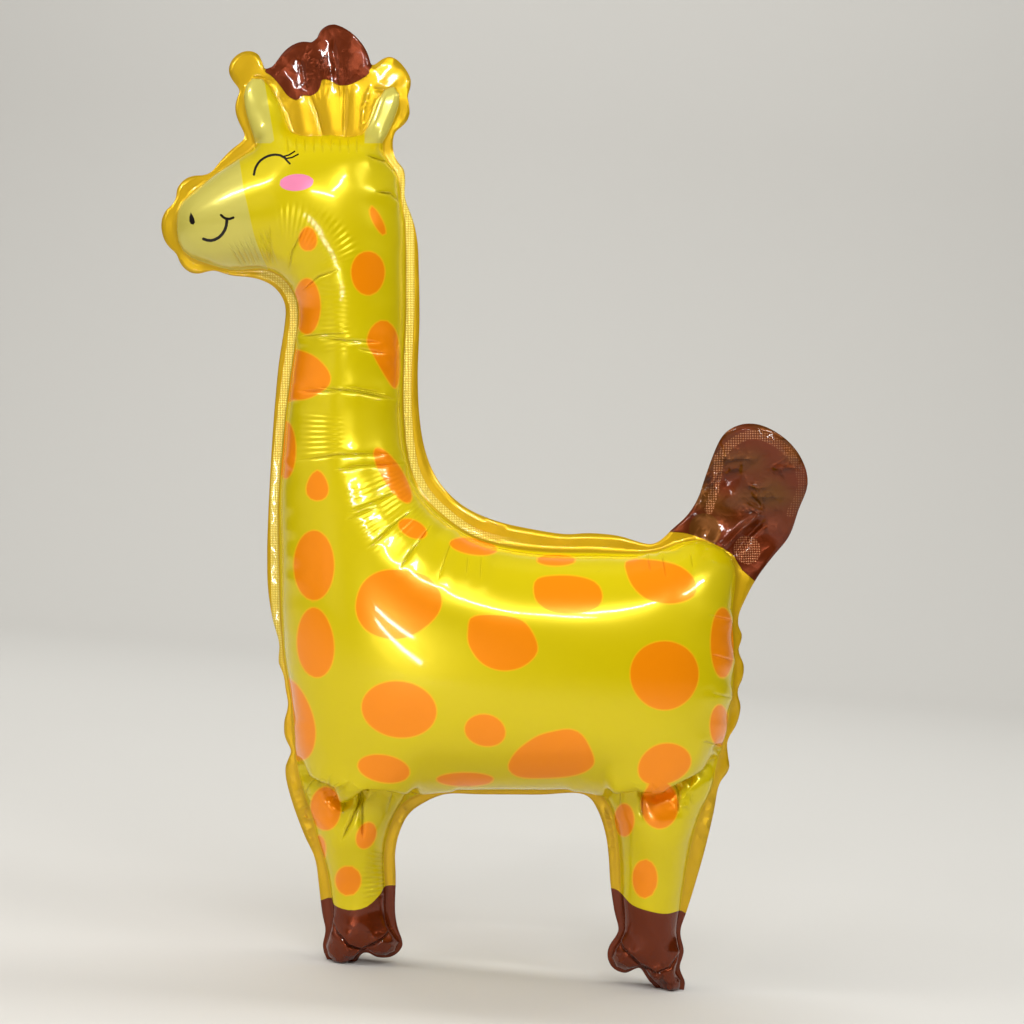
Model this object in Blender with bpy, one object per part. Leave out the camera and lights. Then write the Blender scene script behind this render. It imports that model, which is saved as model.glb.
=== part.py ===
"""A standing giraffe balloon for a table: two printed film sheets welded round their outline.

The welded sheets hold the air, so the balloon is one sealed piece. Its outline is drawn in
millimetres, x to the tail and z up, as the balloon looks from its left side. The form then comes from that
drawing: the sheets stay flat outside the weld line, and inside it they bulge as a film under
pressure does.
"""

import math

import bmesh
import bpy
import numpy as np
from mathutils import Vector
from mathutils.geometry import delaunay_2d_cdt

# Driving sizes, in metres, degrees or plain ratios
HEIGHT = 0.580  # from the table to the tip of the hair tuft
FILM = 0.0008  # both sheets together, where they are welded flat
SOLE = 0.0040  # how far the lowest toes are pressed flat by the table
LEAN = 4.9  # turn from the drawing to the level stance, towards the head
BODY_THICK = 0.118  # from side to side where the body is fullest
HOOF_WIDE = 0.040  # from side to side, where the hooves are pressed blunt by the weight on them
SEAM_WAVE = 0.0026  # how far the free edge of the seam waves out of its plane
TAIL_CURL = 0.009  # how far the tail flap bends out of that plane
ROOT_PINCH = 0.40  # share of the thickness that is lost at the pleats above each leg

# Point spacing of the solid, in millimetres of the drawing
WELD_STEP = 6.4
TRIM_STEP = 5.2
RING_DEPTHS = (1.3, 4.6, 9.6)
LATTICE_STEP = 9.2
ROOT_STEP = 6.0
FLAP_STEP = 9.0  # on the wide flaps outside the weld, so that they can bend
LEAST_SEAM = 0.6  # where the seam curls under, the drawing still keeps this much of it

# The weld line, clockwise from the root of the left horn
WELD_HORNS = (
    (-151.5, 523.5), (-153.6, 531), (-156.4, 540), (-158.4, 549), (-158.6, 557), (-156, 563.5),
    (-151, 566), (-146, 564), (-140.5, 556.5), (-135, 547), (-131.4, 537), (-127.5, 530),
    (-119, 528.5), (-104, 530), (-93, 528), (-85.5, 530), (-80.8, 538), (-76.6, 548), (-73, 556.5),
    (-68.5, 560.5), (-63.6, 558.5), (-62.2, 552), (-64.8, 542), (-68.4, 533), (-73.2, 523),
)
WELD_NAPE = (
    (-70.3, 515), (-65.4, 508), (-62.4, 500.5), (-61.9, 493), (-60.6, 485), (-59, 472), (-58.6, 446),
    (-58.7, 418), (-60, 390), (-60.3, 362), (-58.6, 339), (-54.6, 320), (-46.8, 305.6), (-34, 293),
    (-18, 282), (0, 276.2),
)
WELD_BACK = (
    (24, 272.8), (60, 272), (90, 271.6), (101, 273.6), (112, 277.6), (122, 279), (132, 276.6),
    (141, 271.4), (145.8, 263), (145.8, 250), (144, 234), (145, 218), (145.2, 200), (143.6, 180),
    (140.6, 162), (137, 149), (134, 138),
)
WELD_REAR_LEG = (
    (131.6, 126.5), (125.4, 113), (120.6, 99), (116.4, 80), (113.3, 62), (111.4, 48), (109.4, 36.4),
    (111.6, 24), (108.2, 13.4), (111.8, 7), (112.2, 1.8), (107, -1.2), (100, 1.6), (92.6, 8.8),
    (86.2, 17.6), (79, 12.6), (71.2, 15.2), (68.8, 22), (72.2, 29.6), (76.2, 36.6), (75, 56), (74, 82),
    (71.4, 102), (66.4, 117),
)
WELD_BELLY = ((56, 123.4), (24, 123.8), (-14, 123.8), (-38, 123.6), (-53, 120.4))
WELD_FRONT_LEG = (
    (-62.4, 113.6), (-67.4, 103), (-71, 90), (-71.8, 76), (-70.6, 58), (-70, 44), (-65.6, 35.4),
    (-62.2, 28.6), (-68, 22.4), (-77, 22.8), (-84.2, 28), (-88.4, 21.6), (-97, 16.8), (-105, 19.6),
    (-108, 28), (-105.4, 37), (-103.4, 46), (-104.8, 60), (-107.4, 76), (-112.9, 94), (-117.4, 111),
    (-123.4, 128),
)
WELD_CHEST = (
    (-126.8, 147), (-127.8, 164), (-130.4, 186), (-133.8, 206), (-135.8, 232), (-136.8, 272),
    (-136.8, 306), (-133.8, 345), (-129.6, 381), (-126.2, 404), (-124.8, 420), (-127, 431),
    (-134.4, 441.4), (-146, 446.8),
)
WELD_FACE = (
    (-166, 446.2), (-181, 450), (-193, 455), (-199, 462.5), (-200.5, 475), (-198.4, 486.4),
    (-189, 495.6), (-175, 506.8), (-162, 515.4),
)

# The trimmed edge of the film, clockwise from below the left horn
TRIM_HORN_LEFT = (
    (-157.6, 528.8), (-161, 535.6), (-164.4, 546), (-163.2, 553), (-160.8, 557.4), (-166.6, 564.6),
    (-168.7, 571), (-165, 578.6), (-157.6, 582.5), (-150.6, 581.2), (-147.4, 575.6), (-146, 570.8),
)
TRIM_TUFT = (
    (-140.6, 572.8), (-135.4, 580.4), (-128, 586.6), (-120.6, 588.4), (-115, 587.4), (-111.6, 594.6),
    (-105, 599.1), (-96.4, 596.4), (-86.4, 587.8), (-81.6, 580), (-79.3, 571.6),
)
TRIM_HORN_RIGHT = (
    (-74.8, 576.4), (-68, 579.3), (-60.4, 573.6), (-54.8, 563), (-57.4, 553.6), (-55.6, 545),
    (-58.8, 536.8), (-65, 532.6), (-66.6, 523),
)
TRIM_NAPE = (
    (-64.6, 514.6), (-59.6, 509.4), (-58.8, 501), (-59.2, 491.4), (-54.8, 480), (-51.4, 466),
    (-50.3, 444), (-49.9, 416), (-51, 380), (-49.8, 354), (-46, 333), (-38.4, 316), (-24, 301),
    (-4, 291.4), (22, 285.4),
)
TRIM_BACK = (
    (42, 282.6), (54, 283.4), (74, 281.6), (85, 278.2), (94.4, 276.2), (101, 280), (106.2, 285.4),
)
TRIM_TAIL = (
    (115.6, 293.4), (123.2, 304.4), (128.4, 319), (133.2, 333.4), (138.6, 344.8), (147, 350.1),
    (157, 350.9), (168, 346.8), (179.6, 337.8), (187.4, 325.6), (189.8, 312), (185.6, 299), (180, 280.6),
    (169.6, 267.8), (158.8, 254.4), (151.4, 241),
)
TRIM_RUMP = (
    (148, 233), (147.4, 226), (150.8, 219), (147.2, 211.4), (151.4, 201.4), (149.8, 191.4),
    (146.6, 185.4), (149.4, 176.4), (146.2, 163.6), (140.8, 155), (141.4, 145), (142.4, 137),
    (136.2, 128.8),
)
TRIM_REAR_LEG = (
    (132.6, 111), (127.2, 88), (120.4, 64), (115.2, 47.4), (111.5, 36), (114.2, 23.6), (110.8, 13),
    (114.8, 6.4), (113.8, 0), (107, -3.4), (99.6, -0.6), (91, 7.2), (86.2, 15), (79, 10.4), (69.8, 13.4),
    (66.2, 21.6), (68.8, 30), (73.7, 35.8), (71, 48), (68.4, 66), (67.2, 84), (65.4, 97), (60.4, 112),
)
TRIM_BELLY = ((53.6, 121), (24, 121.2), (-14, 121.4), (-34, 121.6), (-45.4, 117.2))
TRIM_FRONT_LEG = (
    (-56.4, 109.6), (-62, 99), (-65, 86), (-64.6, 70), (-65, 47), (-63, 36.6), (-59.8, 28.4),
    (-66.4, 20.8), (-77, 20.4), (-84.2, 24.6), (-89, 18), (-97, 14.9), (-106.2, 17.8), (-110.2, 28),
    (-107.9, 36.6), (-110, 46), (-112, 62), (-114.8, 82), (-121, 95.4), (-128, 114), (-133.2, 134),
)
TRIM_CHEST = (
    (-132.6, 141), (-129, 148.2), (-133.4, 156), (-133.8, 167), (-131.2, 176.4), (-133.2, 187),
    (-134, 195.4), (-137.6, 203.4), (-136.6, 213.6), (-140.8, 229), (-143.8, 248), (-144.4, 272),
    (-143.2, 306), (-140.6, 350), (-137, 390), (-133.6, 412), (-133.2, 425), (-139.6, 435.6),
    (-151, 441.2),
)
TRIM_FACE = (
    (-168, 443.2), (-178.8, 446.6), (-184.4, 444.4), (-191.6, 444.4), (-198.2, 450), (-200.6, 457.2),
    (-206, 461), (-210.2, 472), (-208, 482.6), (-203.4, 486.4), (-200.8, 490), (-200.4, 497.6),
    (-193, 504.4), (-180.4, 505.8), (-174, 513.4), (-166.6, 521.2),
)

# Pleats across the top of each leg, from the front to the rear
ROOT_FRONT = (
    (-124, 142), (-112, 134), (-104, 125.4), (-98.6, 118.2), (-88, 122), (-72, 124.2), (-57, 122.4),
)
ROOT_REAR = ((66, 121.4), (79, 124.6), (93, 125.6), (103, 125.2), (113, 133), (124, 140.8), (135, 147))
ROOT_REACH_UP = 7.0
ROOT_REACH_DOWN = 17.0

TAIL_ROOT = Vector((128.0, 276.0))
TAIL_TIP = Vector((176.0, 330.0))
CROWN_LEFT, CROWN_RIGHT, CROWN_FOOT = -128.0, -84.0, 530.0
CROWN_PLEAT = 14.0
WAVE_LENGTH = 26.0
SEAM_REACH = 9.0  # full wave this far outside the weld
HOOF_TOP = 55.0
BLUNT_TOP, BLUNT_FULL = 42.0, 12.0  # above the toes, where the hooves start to blunt and are bluntest
BLUNT = 0.6


def closed_curve(controls, step):
    """Evenly spaced points on a smooth closed curve through the control points."""
    controls = np.array(controls, float)
    dense = []
    for index in range(len(controls)):
        before, start, end, after = (controls[(index + k) % len(controls)] for k in (-1, 0, 1, 2))
        knots = [0.0]
        for a, b in ((before, start), (start, end), (end, after)):
            knots.append(knots[-1] + math.sqrt(np.linalg.norm(b - a)))
        t = np.linspace(knots[1], knots[2], 16, endpoint=False)[:, None]
        k0, k1, k2, k3 = knots
        first = ((k1 - t) * before + (t - k0) * start) / (k1 - k0)
        middle = ((k2 - t) * start + (t - k1) * end) / (k2 - k1)
        last = ((k3 - t) * end + (t - k2) * after) / (k3 - k2)
        left = ((k2 - t) * first + (t - k0) * middle) / (k2 - k0)
        right = ((k3 - t) * middle + (t - k1) * last) / (k3 - k1)
        dense.append(((k2 - t) * left + (t - k1) * right) / (k2 - k1))
    dense = np.vstack(dense)
    dense = np.vstack([dense, dense[:1]])
    run = np.concatenate([[0], np.cumsum(np.linalg.norm(np.diff(dense, axis=0), axis=1))])
    stations = np.linspace(0, run[-1], round(run[-1] / step), endpoint=False)
    return np.column_stack([np.interp(stations, run, dense[:, k]) for k in (0, 1)])


def open_line(controls, step):
    """Evenly spaced points along a line through the control points."""
    controls = np.array(controls, float)
    run = np.concatenate([[0], np.cumsum(np.linalg.norm(np.diff(controls, axis=0), axis=1))])
    stations = np.linspace(0, run[-1], round(run[-1] / step) + 1)
    return np.column_stack([np.interp(stations, run, controls[:, k]) for k in (0, 1)])


def inside(points, loop):
    """True for each point inside the closed loop."""
    crossings = np.zeros(len(points), int)
    for a, b in zip(loop, np.roll(loop, -1, axis=0)):
        spans = (a[1] > points[:, 1]) != (b[1] > points[:, 1])
        with np.errstate(divide="ignore", invalid="ignore"):
            x = a[0] + (points[:, 1] - a[1]) * (b[0] - a[0]) / (b[1] - a[1])
        crossings += spans & (points[:, 0] < x)
    return crossings % 2 == 1


def distance(points, line, closed=True):
    """Distance from each point to the line, and the number of its nearest segment."""
    starts = line if closed else line[:-1]
    ends = np.roll(line, -1, axis=0) if closed else line[1:]
    along = ends - starts
    offset = points[:, None, :] - starts[None, :, :]
    share = np.clip((offset * along).sum(2) / (along**2).sum(1), 0, 1)
    gaps = np.linalg.norm(offset - share[:, :, None] * along, axis=2)
    return gaps.min(1), gaps.argmin(1)


def thinned(candidates, kept, gap):
    """The candidates that stay at least this gap from the kept points and from each other."""
    kept = list(kept)
    chosen = []
    for point in candidates:
        if np.linalg.norm(np.array(kept) - point, axis=1).min() >= gap:
            kept.append(point)
            chosen.append(point)
    return chosen


def sheet_points(weld, roots):
    """Points inside the chamber: rings that follow the weld, then an even lattice."""
    tangent = np.roll(weld, -1, axis=0) - np.roll(weld, 1, axis=0)
    inward = np.column_stack([tangent[:, 1], -tangent[:, 0]])
    inward /= np.linalg.norm(inward, axis=1)[:, None]
    chosen = list(np.vstack(roots))
    for depth in RING_DEPTHS:
        ring = weld + depth * inward
        clear = inside(ring, weld) & (distance(ring, weld)[0] > 0.85 * depth)
        # Close to the weld each ring keeps every point, and further in they open out
        gap = min(0.55 * WELD_STEP + 0.25 * depth, 0.9 * LATTICE_STEP)
        chosen += thinned(ring[clear], np.vstack([chosen, weld[:1]]), gap)
    low, high = weld.min(0), weld.max(0)
    rows = np.arange(low[1], high[1], LATTICE_STEP * math.sqrt(0.75))
    lattice = [
        (x + (row % 2) * LATTICE_STEP / 2, z)
        for row, z in enumerate(rows)
        for x in np.arange(low[0], high[0], LATTICE_STEP)
    ]
    lattice = np.array(lattice)
    deep = inside(lattice, weld) & (distance(lattice, weld)[0] > RING_DEPTHS[-1] + 2)
    chosen += thinned(lattice[deep], chosen, 0.72 * LATTICE_STEP)
    return np.array(chosen)


def loop_edges(first, count, closed=True):
    return [(first + i, first + (i + 1) % count) for i in range(count if closed else count - 1)]


def flat_sheet(weld, trim, roots):
    """The cut sheet, flat: its points and triangles, with the weld line among its edges."""
    within = sheet_points(weld, roots)
    gap = distance(trim, weld)[0]
    low, high = trim.min(0), trim.max(0)
    columns = np.arange(low[0], high[0], FLAP_STEP)
    grid = np.array([(x, z) for z in np.arange(low[1], high[1], FLAP_STEP) for x in columns])
    flap = inside(grid, trim) & ~inside(grid, weld)
    flap &= (distance(grid, weld)[0] > 0.7 * FLAP_STEP) & (distance(grid, trim)[0] > 0.55 * FLAP_STEP)
    points = np.vstack([weld, trim, within, grid[flap]])
    edges = loop_edges(0, len(weld)) + loop_edges(len(weld), len(trim))
    start = len(weld) + len(trim)
    for root in roots:
        edges += loop_edges(start, len(root), closed=False)
        start += len(root)
    assert gap.min() > LEAST_SEAM, "the trimmed edge crosses the weld line"
    made = delaunay_2d_cdt([Vector(p) for p in points], edges, [], 0, 1e-4)
    points = np.array([tuple(p) for p in made[0]])
    faces = np.array([face for face in made[2]])
    return points, faces[inside(points[faces].mean(1), trim)]


def bulge(points, faces, weld, above_toes, scale):
    """Half the thickness of the inflated chamber at each point.

    The square of the thickness follows the shape of a film under even pressure that is held at
    the weld line, which makes every long tube round. The film can't stretch, so where the
    outline is widest the chamber stays flatter than that.
    """
    chamber = faces[inside(points[faces].mean(1), weld)]
    stiffness = np.zeros((len(points), len(points)))
    load = np.zeros(len(points))
    for corner in range(3):
        a, b, c = (chamber[:, (corner + k) % 3] for k in range(3))
        to_b, to_c = points[b] - points[a], points[c] - points[a]
        double_area = np.abs(to_b[:, 0] * to_c[:, 1] - to_b[:, 1] * to_c[:, 0])
        weight = (to_b * to_c).sum(1) / double_area / 2
        np.add.at(stiffness, (b, c), -weight)
        np.add.at(stiffness, (c, b), -weight)
        np.add.at(stiffness, (b, b), weight)
        np.add.at(stiffness, (c, c), weight)
        np.add.at(load, a, double_area / 6)
    free = inside(points, weld) & (distance(points, weld)[0] > 0.01)
    swell = np.zeros(len(points))
    swell[free] = np.linalg.solve(stiffness[np.ix_(free, free)], load[free])
    half = np.sqrt(2 * np.maximum(swell, 0))
    fullest = BODY_THICK / 2 / scale
    flatten = max(fullest**-4 - half.max() ** -4, 0)
    half /= (1 + flatten * half**4) ** 0.25
    low = np.clip((BLUNT_TOP - above_toes) / (BLUNT_TOP - BLUNT_FULL), 0, 1)
    hoof = HOOF_WIDE / 2 / scale
    return hoof * (half / hoof) ** (1 - BLUNT * low)


def pinch(points, roots):
    """Share of the thickness that the pleats above the legs leave."""
    left = np.ones(len(points))
    for root in roots:
        gap, segment = distance(points, root, closed=False)
        above = points[:, 1] > root[segment, 1]
        reach = np.where(above, ROOT_REACH_UP, ROOT_REACH_DOWN)
        left *= 1 - ROOT_PINCH * np.exp(-((gap / reach) ** 2))
    return left


def seam_plane(points, weld, scale):
    """How far the middle of the film lies out of its plane: waves, crown pleats and the tail."""
    gap, segment = distance(points, weld)
    gap[inside(points, weld)] = 0
    run = segment * WELD_STEP
    tangent = np.roll(weld, -5, axis=0) - np.roll(weld, 5, axis=0)
    ahead = np.roll(tangent, -5, axis=0)
    behind = np.roll(tangent, 5, axis=0)
    turn = behind[:, 1] * ahead[:, 0] - behind[:, 0] * ahead[:, 1]
    turn /= np.linalg.norm(behind, axis=1) * np.linalg.norm(ahead, axis=1)
    slack = 0.25 + 0.75 * np.clip(turn, 0, 1)  # the seam is slack where it turns round a bulge
    free = np.clip(gap / SEAM_REACH, 0, 1.2)
    offset = SEAM_WAVE / scale * free * slack[segment] * np.sin(2 * math.pi * run / WAVE_LENGTH)

    crown = (points[:, 0] > CROWN_LEFT) & (points[:, 0] < CROWN_RIGHT) & (points[:, 1] > CROWN_FOOT)
    pleats = SEAM_WAVE / scale * np.sin(2 * math.pi * (points[:, 0] - CROWN_LEFT) / CROWN_PLEAT)
    offset = np.where(crown, free * pleats, offset)

    reach = np.array(TAIL_TIP - TAIL_ROOT)
    along = (points - np.array(TAIL_ROOT)) @ reach / (reach @ reach)
    tail = (gap > 0) & (along > 0) & (points[:, 0] > 100) & (points[:, 1] > 245)
    curl = TAIL_CURL / scale * np.sin(1.3 * math.pi * np.clip(along, 0, 1.2))
    return np.where(tail, free * curl, offset)


def film_material(name, colour, roughness, metallic):
    material = bpy.data.materials.new(name)
    material.use_nodes = True
    shader = material.node_tree.nodes["Principled BSDF"]
    shader.inputs["Base Color"].default_value = (*colour, 1)
    shader.inputs["Roughness"].default_value = roughness
    shader.inputs["Metallic"].default_value = metallic
    return material


def printed_brown(x, z):
    """True where the film is printed brown: hooves, hair tuft and tail."""
    hoof = z < HOOF_TOP
    tuft = -146 < x < -79 and z > 561
    tail = x > 105 and z > 283 or x > 128 and z > 268
    return hoof or tuft or tail


def build():
    weld = WELD_HORNS + WELD_NAPE + WELD_BACK + WELD_REAR_LEG + WELD_BELLY
    weld = closed_curve(weld + WELD_FRONT_LEG + WELD_CHEST + WELD_FACE, WELD_STEP)
    trim = TRIM_HORN_LEFT + TRIM_TUFT + TRIM_HORN_RIGHT + TRIM_NAPE + TRIM_BACK + TRIM_TAIL + TRIM_RUMP
    trim += TRIM_REAR_LEG + TRIM_BELLY + TRIM_FRONT_LEG + TRIM_CHEST + TRIM_FACE
    trim = closed_curve(trim, TRIM_STEP)
    roots = [open_line(root, ROOT_STEP) for root in (ROOT_FRONT, ROOT_REAR)]

    lean = math.radians(LEAN)
    turn = np.array([[math.cos(lean), math.sin(lean)], [-math.sin(lean), math.cos(lean)]])
    stance = trim @ turn
    # The drawing grows until what stands above the pressed soles is as high as it should be
    scale = (HEIGHT + SOLE) / np.ptp(stance[:, 1])

    points, faces = flat_sheet(weld, trim, roots)
    above_toes = (points @ turn)[:, 1] - stance[:, 1].min()
    half = bulge(points, faces, weld, above_toes, scale) * pinch(points, roots) * scale
    middle = seam_plane(points, weld, scale) * scale
    placed = (points @ turn) * scale
    placed[:, 1] -= stance[:, 1].min() * scale + SOLE
    placed[:, 0] -= (stance[:, 0].min() + stance[:, 0].max()) * scale / 2

    mesh = bpy.data.meshes.new("balloon")
    for material in (
        film_material("printed_film", (0.80, 0.60, 0.02), 0.15, 0.2),
        film_material("brown_film", (0.12, 0.03, 0.01), 0.15, 0.2),
    ):
        mesh.materials.append(material)
    work = bmesh.new()
    back = [work.verts.new((x, y + FILM / 2 + h, z)) for (x, z), y, h in zip(placed, middle, half)]
    front_y = middle - FILM / 2 - half
    for face in faces:
        made = work.faces.new([back[i] for i in face])
        made.material_index = int(printed_brown(*points[face].mean(0)))
        made.smooth = True
    work.verts.index_update()
    # The second sheet starts as a copy of the first, joined to it round the trimmed edge
    copied = bmesh.ops.extrude_face_region(work, geom=work.faces[:], use_keep_orig=True)
    front = [item for item in copied["geom"] if isinstance(item, bmesh.types.BMVert)]
    order = {(round(v.co.x, 7), round(v.co.z, 7)): i for i, v in enumerate(back)}
    for vert in front:
        vert.co.y = front_y[order[round(vert.co.x, 7), round(vert.co.z, 7)]]
    # The table presses the lowest toes flat
    bmesh.ops.bisect_plane(
        work, geom=work.verts[:] + work.edges[:] + work.faces[:], dist=1e-4, plane_co=(0, 0, 0),
        plane_no=(0, 0, -1), use_snap_center=True, clear_outer=True,
    )
    bmesh.ops.holes_fill(work, edges=[edge for edge in work.edges if edge.is_boundary], sides=0)
    bmesh.ops.triangulate(work, faces=work.faces[:])
    bmesh.ops.recalc_face_normals(work, faces=work.faces[:])
    work.to_mesh(mesh)
    work.free()

    balloon = bpy.data.objects.new("balloon", mesh)
    group = bpy.data.collections.new("giraffe_balloon")
    bpy.context.scene.collection.children.link(group)
    group.objects.link(balloon)


for left_over in list(bpy.data.objects):
    bpy.data.objects.remove(left_over)
build()
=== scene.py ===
"""A foil giraffe balloon that stands on a table on its own hooves.

The drawing that the print, the creases and the seam refer to is in millimetres, x to the tail and z up, as
the giraffe's left side looks from the camera. The far side carries the same print, mirrored.
"""

import math

import bpy
import numpy as np
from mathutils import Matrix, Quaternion, Vector


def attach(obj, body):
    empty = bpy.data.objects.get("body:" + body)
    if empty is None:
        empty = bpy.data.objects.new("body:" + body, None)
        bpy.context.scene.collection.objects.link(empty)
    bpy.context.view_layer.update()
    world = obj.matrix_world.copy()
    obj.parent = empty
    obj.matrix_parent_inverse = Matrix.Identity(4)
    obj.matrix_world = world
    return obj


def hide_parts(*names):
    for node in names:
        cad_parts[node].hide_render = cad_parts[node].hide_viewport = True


# The camera's place, and the drawing that it sees
# The picture shows the giraffe turned a little from its level stance, from straight abeam. What lies on
# the near side is closer than the seam, so it looks larger and further from the middle of the picture.
LEAN = math.radians(4.9)  # from the drawing to the level stance, towards the head
DRAWN_MM = 0.0010031  # metres for one millimetre of the drawing
DRAWN_FROM = Vector((0.043875, -0.009843))  # where the drawing's origin lies, metres
PICTURE_WIDTH = 634.9  # millimetres of the drawing across the picture
PICTURE_MIDDLE = Vector((7.4, 296.4))
CAMERA_AWAY = 1.3
SENSOR = 36.0


def placed(x, z):
    """A point of the drawing, in metres in the plane of the seam."""
    right = x * math.cos(LEAN) - z * math.sin(LEAN)
    up = x * math.sin(LEAN) + z * math.cos(LEAN)
    return DRAWN_FROM.x + right * DRAWN_MM, DRAWN_FROM.y + up * DRAWN_MM


EYE = placed(*PICTURE_MIDDLE)


def drawn(points):
    """Where points look to be in the drawing, for the near and the far side alike."""
    larger = CAMERA_AWAY / (CAMERA_AWAY - np.abs(points[:, 1]))
    right = (EYE[0] + (points[:, 0] - EYE[0]) * larger - DRAWN_FROM.x) / DRAWN_MM
    up = (EYE[1] + (points[:, 2] - EYE[1]) * larger - DRAWN_FROM.y) / DRAWN_MM
    x = right * math.cos(LEAN) + up * math.sin(LEAN)
    z = up * math.cos(LEAN) - right * math.sin(LEAN)
    return np.column_stack([x, z])


# The air-filled film
# Two printed sheets, each a metal layer between plastic, are heat-welded round one outline and blown up.
# Inside the weld the film is let out towards the width of the cut sheet, and a cloth run with air in it
# swells it again, which leaves slack puckers along the weld.
FLAT_SEAM = 0.0008  # metres, both sheets where they are welded
SAME_POINT = 2e-6  # metres, within which the corners of the solid's triangles are one point
MATCHED_TO = 1e5  # steps in a metre, to which a point of one sheet is matched with its twin on the other
ON_TABLE = 0.0004  # metres above the table, up to which a toe is pressed flat
CALM = 0.2  # share of the seam's waves that is left where the seam is narrow
WAVY_ZONES = (
    # the share that is left in a zone of the drawing instead, and the zone's left, right, foot and top
    (0.5, -math.inf, -150, 500, math.inf),
    (0.5, -74, math.inf, 500, math.inf),
    (0.5, -math.inf, -145, 430, math.inf),
    (0.0, -148, -74, 530, math.inf),
    (1.0, -math.inf, -115, -math.inf, 235),
    (1.0, 120, math.inf, 140, math.inf),
    (1.0, 92, math.inf, 244, math.inf),
)
WIDER_WHEN_FLAT = 0.571  # a film tube laid flat is pi / 2 times as wide as it is round
SLIVER = 1e-9  # square metres, below which twice a triangle's area counts as none
SLACK = 0.14  # share of the way back from the blown shape to the cut sheet
CUTS = 2  # splits of each edge of the solid before the run
BLOWN_BY, LAST_FRAME = 9, 16
STEPS_A_FRAME = 6
AIR_PRESSURE, AIR_DRAG = 20.0, 2.0
FILM_MASS, FILM_STRETCH, FILM_BEND = 0.02, 80.0, 0.006
DRIFT_ROUNDS = 60
DRIFT_FROM = (0.0004, 0.006)  # metres from the seam's plane, where taking off the drift begins and is full
IN_SEAM = 0.999  # a point lies in the seam if more than this share of it does


def places_of(points, what="co"):
    """The place, or the normal, of each point of a mesh or of one of its shapes."""
    flat = np.empty(len(points) * 3, np.float32)
    points.foreach_get(what, flat)
    return flat.reshape(-1, 3).astype(float)


def put(points, places):
    """Moves the points of a mesh, or of one of its shapes, to these places."""
    points.foreach_set("co", places.astype(np.float32).ravel())


def corners_of(mesh):
    flat = np.empty(len(mesh.loops), np.int32)
    mesh.loops.foreach_get("vertex_index", flat)
    return flat.reshape(-1, 3)


def edges_of(mesh):
    flat = np.empty(len(mesh.edges) * 2, np.int32)
    mesh.edges.foreach_get("vertices", flat)
    return flat.reshape(-1, 2)


def step(value, start, end):
    """Rises smoothly from 0 at the start to 1 at the end, which may be the lower of the two."""
    share = np.clip((value - start) / (end - start), 0, 1)
    return share * share * (3 - 2 * share)


def keep(name, values):
    """Stores one number for each point of the film under that name."""
    layer = film.data.attributes.get(name) or film.data.attributes.new(name, "FLOAT", "POINT")
    layer.data.foreach_set("value", np.asarray(values, np.float32))


def on_seam():
    """Which points of the film lie in the flat seam."""
    share = np.empty(len(film.data.vertices), np.float32)
    film.data.attributes["seam"].data.foreach_get("value", share)
    return share > IN_SEAM


def rim_of(faces):
    """The edges that only one of the faces has."""
    pairs = np.sort(np.concatenate([faces[:, [0, 1]], faces[:, [1, 2]], faces[:, [2, 0]]]), axis=1)
    pairs, count = np.unique(pairs, axis=0, return_counts=True)
    return pairs[count == 1]


def slope_of_square(points, corners, height, use):
    """Slope, in the plane of the seam, of half the square of the height over it."""
    a, b, c = (points[corners[:, k]][:, [0, 2]] for k in range(3))
    square = height**2 / 2
    rise_b = square[corners[:, 1]] - square[corners[:, 0]]
    rise_c = square[corners[:, 2]] - square[corners[:, 0]]
    ab, ac = b - a, c - a
    area = ab[:, 0] * ac[:, 1] - ab[:, 1] * ac[:, 0]
    use = use & (np.abs(area) > SLIVER)
    safe = np.where(use, area, 1)
    slope = np.column_stack([rise_b * ac[:, 1] - rise_c * ab[:, 1], rise_c * ab[:, 0] - rise_b * ac[:, 0]])
    slope /= safe[:, None]
    total = np.zeros((len(points), 2))
    weight = np.zeros(len(points))
    for k in range(3):
        np.add.at(total, corners[use, k], slope[use] * np.abs(area[use])[:, None])
        np.add.at(weight, corners[use, k], np.abs(area[use]))
    return total / np.maximum(weight, SLIVER)[:, None]


def levelled(values, edges, use, rounds):
    """The values with their small ups and downs evened out among the points in use."""
    edges = edges[use[edges].all(1)]
    ends = np.concatenate([edges[:, 0], edges[:, 1]])
    others = np.concatenate([edges[:, 1], edges[:, 0]])
    count = np.maximum(np.bincount(ends, minlength=len(use)), 1)
    for _ in range(rounds):
        near_by = [np.bincount(ends, values[others, k], len(use)) / count for k in range(values.shape[1])]
        values = np.where(use[:, None], (values + np.column_stack(near_by)) / 2, values)
    return values


def go_to(mode):
    bpy.ops.object.mode_set(mode=mode)


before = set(bpy.data.objects)
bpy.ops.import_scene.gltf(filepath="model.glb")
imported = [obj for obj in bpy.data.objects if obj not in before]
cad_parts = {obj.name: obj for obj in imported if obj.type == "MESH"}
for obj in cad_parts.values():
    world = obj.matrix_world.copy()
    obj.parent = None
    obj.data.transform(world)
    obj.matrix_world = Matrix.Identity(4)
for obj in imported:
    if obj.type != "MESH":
        bpy.data.objects.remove(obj)
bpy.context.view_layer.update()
film = bpy.data.objects.new("foil_envelope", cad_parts["balloon"].data.copy())
bpy.context.scene.collection.objects.link(film)
bpy.ops.object.select_all(action="DESELECT")
film.select_set(True)
bpy.context.view_layer.objects.active = film
bpy.ops.mesh.customdata_custom_splitnormals_clear()
go_to("EDIT")
bpy.ops.mesh.select_all(action="SELECT")
bpy.ops.mesh.remove_doubles(threshold=SAME_POINT)
go_to("OBJECT")

solid = places_of(film.data.vertices)
corners = corners_of(film.data)
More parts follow.
